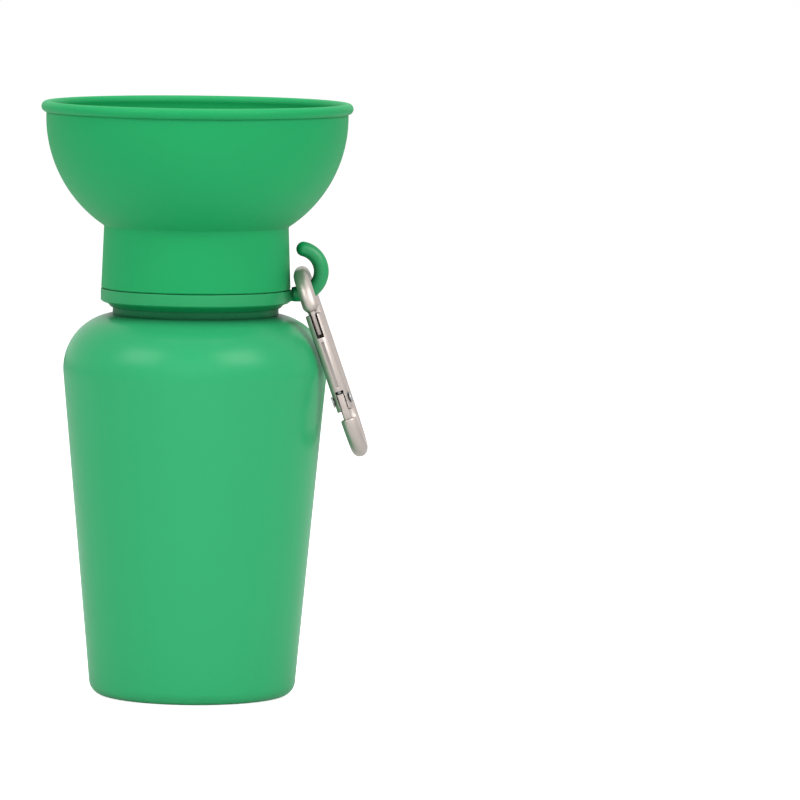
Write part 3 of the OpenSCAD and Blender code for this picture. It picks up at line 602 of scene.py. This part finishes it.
def makeKnob(k):
    outline = rounded([
        [0, k["stemLowZ"]], [k["stemR"], k["stemLowZ"]],
        [k["stemR"], k["clipLowZ"]], [k["clipR"], k["clipLowZ"]],
        [k["clipR"], k["clipTopZ"]], [k["stemR"], k["clipTopZ"]],
        [k["stemR"], k["sealLowZ"]], [k["sealR"], k["sealLowZ"]],
        [k["sealR"], k["sealTopZ"]], [k["stemR"], k["sealTopZ"]],
        [k["stemR"], k["lowZ"]], [k["discR"], k["lowZ"]], [k["discR"], k["topZ"]], [0, k["topZ"]]],
        k["edgeRadii"])
    disc = turnedMesh(outline, capMoulded, k["steps"])
    portLow, portTop = k["lowZ"] - k["cutPast"], k["topZ"] + k["cutPast"]
    port = turnedMesh([[0, portLow], [k["portR"], portLow], [k["portR"], portTop], [0, portTop]],
                      capMoulded, k["sides"])
    disc = cutBy(disc, [moved(port, aroundAxis(k["portOut"], k["portDeg"]))])
    legH = k["loopH"] - k["halfW"]
    leg = []
    for i in range(k["legSteps"]):
        s = i / k["legSteps"]
        leg.append(([k["halfW"], 0, k["topZ"] - k["sink"] + (legH + k["sink"]) * s],
                    k["rodR"] + (k["footR"] - k["rodR"]) * (1 - s) ** k["footPower"]))
    arch = [([px, 0, pz], k["rodR"]) for px, pz in
            arcPoints(0, k["topZ"] + legH, k["halfW"], 0, 180, k["loopSteps"])]
    farLeg = [([-p[0], 0, p[2]], width) for p, width in reversed(leg)]
    path, widths = zip(*(leg + arch + farLeg))
    loop = sweptMesh(path, widths, capMoulded, k["sides"])
    stopLow, stopTop = k["lowZ"] - k["stopH"], k["lowZ"] + k["sink"]
    stop = turnedMesh(rounded([[0, stopLow], [k["stopR"], stopLow], [k["stopR"], stopTop], [0, stopTop]],
                              [0, k["stopEdgeR"], 0, 0]), capMoulded, k["stopSides"])
    piece = makePiece("knobSkin", [disc, loop, moved(stop, aroundAxis(k["stopOut"], k["stopDeg"]))])
    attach(piece, "knob")
    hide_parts("twist_knob")


print("knob")
makeKnob(knob)


# Snap hook, drawn upright with the middle of its top bar at height 0, then tilted and hung on the ring

snap = {
    "pivot": [36.421, 0, 145.6995], "tiltDeg": 19.2, "length": 68.4, "width": 36.5, "rodR": 2.75,
    "topCornerR": 10.0, "lowCornerR": 11.5, "cornerSteps": 20, "sideSteps": 12, "endSteps": 8, "sides": 40,
    "noseR": 1.45, "noseLen": 2.3, "lugThin": 0.7, "lugSink": 0.5,
    "tongueT": 1.6, "tongueLen": 7.5, "tongueHalfW": 1.6, "tongueRoot": 1.3, "tongueBevel": 0.35,
    "lugT": 2.4, "lugLen": 6.9, "lugHalfW": 2.2, "lugUp": 2.1, "lugBevel": 0.3,
    "gateR": 2.85, "gateTip": 13.1, "gateEdgeR": 0.5, "gateBevel": 0.18, "gateSides": 64, "past": 1,
    "slotHalfW": 1.25, "slotBackY": 1.8, "slotLen": 8.4, "forkHalfW": 1.45, "forkUp": 3.2,
    "lineHalfW": 0.45, "lineDepth": 0.5, "lineLow": 4.7, "lineTop": 9.9,
    "cheekR": 4.0, "cheekCutR": 9, "cheekCutHalf": 6, "upperHalf": 7, "upperH": 12, "cheekSides": 96,
    "rivetAt": 44.0, "rivetR": 1.1, "headR": 1.9, "headH": 0.45, "headEdgeR": 0.4, "headGap": 0.1,
    "rivetSides": 48}


def snapPlace(s):
    return Matrix.Translation(Vector(s["pivot"]) * mm) @ Matrix.Rotation(math.radians(-s["tiltDeg"]), 4, "Y")


def makeSnapFrame(s):
    halfW = s["width"] / 2 - s["rodR"]
    lowZ = 2 * s["rodR"] - s["length"]
    rivetZ = -s["rivetAt"]
    noseZ = -s["topCornerR"]
    lugTop = rivetZ - s["lugLen"]
    top, low = halfW - s["topCornerR"], halfW - s["lowCornerR"]
    lowCorner = lowZ + s["lowCornerR"]
    path, widths = [], []

    def add(y, z, r=s["rodR"]):
        path.append([0, y, z])
        widths.append(r)

    # From the nose over the top, down the plain side, through the lower eye and up to the lug
    for i in range(s["endSteps"] + 1):
        share = i / s["endSteps"]
        a = math.radians(90 * share)
        add(-halfW, noseZ - s["noseLen"] * (1 - share), s["noseR"] + (s["rodR"] - s["noseR"]) * math.sin(a))
    for y, z in arcPoints(-top, noseZ, s["topCornerR"], 180, 90, s["cornerSteps"])[1:]:
        add(y, z)
    for y, z in arcPoints(top, noseZ, s["topCornerR"], 90, 0, s["cornerSteps"]):
        add(y, z)
    for y, z in linePoints([halfW, noseZ], [halfW, lowCorner], s["sideSteps"]):
        add(y, z)
    for y, z in arcPoints(low, lowCorner, s["lowCornerR"], 0, -90, s["cornerSteps"]):
        add(y, z)
    for y, z in arcPoints(-low, lowCorner, s["lowCornerR"], -90, -180, s["cornerSteps"]):
        add(y, z)
    for i in range(1, s["endSteps"] + 1):
        share = i / s["endSteps"]
        a = math.radians(90 * share)
        add(-halfW, lowCorner + (lugTop - s["lugSink"] - lowCorner) * share + s["lugSink"] * math.sin(a),
            s["rodR"] - s["lugThin"] * (1 - math.cos(a)))
    rod = sweptMesh(path, widths, zincPlated, s["sides"])
    tongue = boxMesh([-s["tongueT"] / 2, -halfW - s["tongueHalfW"], -s["gateTip"] - s["tongueLen"]],
                     [s["tongueT"] / 2, -halfW + s["tongueHalfW"], noseZ - s["tongueRoot"]], zincPlated)
    lug = boxMesh([-s["lugT"] / 2, -halfW - s["lugHalfW"], lugTop - s["lugSink"]],
                  [s["lugT"] / 2, -halfW + s["lugHalfW"], rivetZ + s["lugUp"]], zincPlated)
    meshes = [rod, beveled(tongue, s["tongueBevel"]), beveled(lug, s["lugBevel"])]
    piece = makePiece("snapFrameSkin", [moved(m, snapPlace(s)) for m in meshes])
    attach(piece, "snap_hook")
    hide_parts("carabiner_frame")


def makeGate(s):
    halfW = s["width"] / 2 - s["rodR"]
    rivetZ = -s["rivetAt"]
    top, low = -s["gateTip"], rivetZ - s["cheekR"]
    r = s["gateR"]
    barrel = turnedMesh(rounded([[0, low], [r, low], [r, top], [0, top]], [0, 0, s["gateEdgeR"], 0]),
                        zincPlated, s["gateSides"])
    # A wide ring without its upper half rounds the lower end about the rivet
    cutR, cutHalf = s["cheekCutR"], s["cheekCutHalf"]
    cheeks = turnedMesh([[s["cheekR"], -cutHalf], [cutR, -cutHalf], [cutR, cutHalf], [s["cheekR"], cutHalf],
                         [s["cheekR"], -cutHalf]], zincPlated, s["cheekSides"])
    across = Matrix.Rotation(math.radians(90), 4, "Y")
    cheeks.transform(Matrix.Translation(Vector((0, 0, rivetZ)) * mm) @ across)
    upper = boxMesh([-s["upperHalf"], -s["upperHalf"], rivetZ],
                    [s["upperHalf"], s["upperHalf"], rivetZ + s["upperH"]], zincPlated)
    cheeks = cutBy(cheeks, [upper])
    front = -r - s["past"]
    slot = boxMesh([-s["slotHalfW"], front, top - s["slotLen"]],
                   [s["slotHalfW"], s["slotBackY"], top + s["past"]], zincPlated)
    fork = boxMesh([-s["forkHalfW"], front, low - s["past"]],
                   [s["forkHalfW"], r + s["past"], rivetZ + s["forkUp"]], zincPlated)
    line = boxMesh([-s["lineHalfW"], front, rivetZ + s["lineLow"]],
                   [s["lineHalfW"], -r + s["lineDepth"], top - s["lineTop"]], zincPlated)
    body = beveled(cutBy(barrel, [cheeks, slot, fork, line]), s["gateBevel"], segments=2, angleDeg=35)
    body.transform(Matrix.Translation(Vector((0, -halfW, 0)) * mm))
    piece = makePiece("gateSkin", [moved(body, snapPlace(s))])
    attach(piece, "gate")
    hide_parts("carabiner_gate")


def makeRivet(s):
    halfW = s["width"] / 2 - s["rodR"]
    under = s["gateR"] + s["headGap"]
    half = rounded([[0, 0], [s["rivetR"], 0], [s["rivetR"], under], [s["headR"], under],
                    [s["headR"], under + s["headH"]], [0, under + s["headH"]]],
                   [0, 0, 0, 0, s["headEdgeR"], 0])
    sides = []
    for turn in (90, -90):
        end = turnedMesh(half, steelTurned, s["rivetSides"])
        end.transform(Matrix.Translation(Vector((0, -halfW, -s["rivetAt"])) * mm)
                      @ Matrix.Rotation(math.radians(turn), 4, "Y"))
        sides.append(moved(end, snapPlace(s)))
    piece = makePiece("rivetSkin", sides)
    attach(piece, "snap_hook")
    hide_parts("gate_rivet")


# The coil presses on the plunger, inside the gate.
# Lead is the straight bit at each end and gap what it stops short by, both in wire radii.
spring = {
    "lowZ": -35.5, "length": 6.8, "wireR": 0.22, "coilR": 1.1, "curls": 5, "lead": 2, "gap": 1,
    "stepsPerCurl": 24, "sides": 16}


def makeSpring(c, s):
    halfW = s["width"] / 2 - s["rodR"]
    count = c["curls"] * c["stepsPerCurl"]
    lead = c["lead"] * c["wireR"]
    inset = (c["lead"] + c["gap"]) * c["wireR"]
    rise = c["length"] - 2 * inset
    low = c["lowZ"] + inset
    path = [[c["coilR"], -halfW, low - lead]]
    for i in range(count + 1):
        turn = math.tau * i / c["stepsPerCurl"]
        x, y = c["coilR"] * math.cos(turn), c["coilR"] * math.sin(turn)
        path.append([x, -halfW + y, low + rise * i / count])
    path.append([c["coilR"], -halfW, low + rise + lead])
    coil = sweptMesh(path, [c["wireR"]] * len(path), steelTurned, c["sides"])
    piece = makePiece("springSkin", [moved(coil, snapPlace(s))])
    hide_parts("gate_spring")
    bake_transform(piece)


print("snap hook")
makeSnapFrame(snap)
makeGate(snap)
makeRivet(snap)
makeSpring(spring, snap)


# CAD nodes that are shown as they are

carried = {
    "screw_cap": capMoulded, "cap_gasket": sealMoulded, "stem_oring": nitrileMoulded,
    "stem_washer": steelTurned, "stem_clip": steelTurned, "port_seal": sealMoulded,
    "dip_tube": tubeExtruded, "gate_plunger": steelTurned}
print("carried nodes")
for name, material in carried.items():
    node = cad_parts[name]
    node.data.materials.clear()
    node.data.materials.append(material)


# Stage. The lights' places, aims and sizes are in metres and their powers in watts.

stage = {
    "floorHalf": 20000, "floorTopZ": -0.05, "floorLowZ": -2, "floorColor": "#f2f2f2", "floorGlow": 0.8,
    "backdropStrength": 1.0, "ambient": 0.22}
lights = {
    "softboxLeft": {"place": (-1.25, -0.95, 1.2), "aim": (0, 0, 0.11), "size": (1.1, 0.9), "power": 15.3},
    "softboxRight": {"place": (1.12, -1.07, 1.24), "aim": (0, 0, 0.11), "size": (1.1, 0.9), "power": 19.0},
    "frontScrim": {"place": (0.0, -2.6, 0.9), "aim": (0, 0, 0.11), "size": (2.4, 1.4), "power": 8.5},
    "topScrim": {"place": (0.0, 0.1, 1.8), "aim": (0, 0, 0.1), "size": (1.0, 1.0), "power": 14.0}}


def paperMaterial(look):
    # White paper, lifted to a full white for the camera only, so that just the shadow shows on it
    material, tree = newMaterial("paperMatt")
    paper = addNode(tree, "ShaderNodeBsdfDiffuse", {"Color": linearColor(look["floorColor"])})
    path = addNode(tree, "ShaderNodeLightPath").outputs
    lift = addNode(tree, "ShaderNodeMath", {
        0: path["Is Camera Ray"], 1: look["floorGlow"]}, operation="MULTIPLY")
    glow = addNode(tree, "ShaderNodeEmission", {"Color": (1, 1, 1, 1), "Strength": lift.outputs[0]})
    both = addNode(tree, "ShaderNodeAddShader", {0: paper.outputs[0], 1: glow.outputs[0]})
    addNode(tree, "ShaderNodeOutputMaterial", {"Surface": both.outputs[0]})
    return material


def makeFloor(look):
    half = look["floorHalf"]
    floor = boxMesh([-half, -half, look["floorLowZ"]], [half, half, look["floorTopZ"]], paperMaterial(look))
    piece = bpy.data.objects.new("paperFloor", floor)
    scene.collection.objects.link(piece)


def makeWorld(look):
    # Camera, glossy and transmitted rays see the full backdrop; the others get the dimmer ambient light
    world = bpy.data.worlds.new("studio")
    scene.world = world
    world.use_nodes = True
    tree = world.node_tree
    tree.nodes.clear()
    path = addNode(tree, "ShaderNodeLightPath").outputs
    direct = addNode(tree, "ShaderNodeMath", {
        0: path["Is Camera Ray"], 1: path["Is Glossy Ray"]}, operation="ADD")
    seen = addNode(tree, "ShaderNodeMath", {
        0: direct.outputs[0], 1: path["Is Transmission Ray"]}, operation="ADD", use_clamp=True)
    strength = addNode(tree, "ShaderNodeMapRange", {
        "Value": seen.outputs[0], "To Min": look["ambient"], "To Max": look["backdropStrength"]})
    light = addNode(tree, "ShaderNodeBackground", {"Color": (1, 1, 1, 1), "Strength": strength.outputs[0]})
    addNode(tree, "ShaderNodeOutputWorld", {"Surface": light.outputs[0]})


def aimed(thing, place, target):
    thing.location = place
    thing.rotation_mode = "QUATERNION"
    thing.rotation_quaternion = (Vector(target) - Vector(place)).to_track_quat("-Z", "Y")
    scene.collection.objects.link(thing)


def areaLight(name, light):
    data = bpy.data.lights.new(name, "AREA")
    data.shape = "RECTANGLE"
    data.size, data.size_y = light["size"]
    data.energy = light["power"]
    aimed(bpy.data.objects.new(name, data), light["place"], light["aim"])


print("stage")
makeFloor(stage)
makeWorld(stage)
for name, light in lights.items():
    areaLight(name, light)


# Camera, in metres. The width is what the picture spans at the bottle's axis.

camera = {
    "distance": 2.4, "height": 0.3095, "aimX": 0.0708, "aimZ": 0.1029, "widthAtAxis": 0.276, "rollDeg": 0.7,
    "sensorMm": 36.0, "nearest": 0.1, "farthest": 50}


def makeCamera(c):
    place = Vector((c["aimX"], -c["distance"], c["height"]))
    aim = Vector((c["aimX"], 0, c["aimZ"]))
    data = bpy.data.cameras.new("camera")
    data.sensor_width = c["sensorMm"]
    data.lens = c["sensorMm"] * (aim - place).length / c["widthAtAxis"]
    data.clip_start, data.clip_end = c["nearest"], c["farthest"]
    made = bpy.data.objects.new("camera", data)
    aimed(made, place, aim)
    roll = Matrix.Rotation(math.radians(c["rollDeg"]), 3, "Z").to_quaternion()
    made.rotation_quaternion = made.rotation_quaternion @ roll
    scene.camera = made


print("camera")
makeCamera(camera)
scene.view_settings.view_transform = "Standard"
bpy.context.view_layer.update()
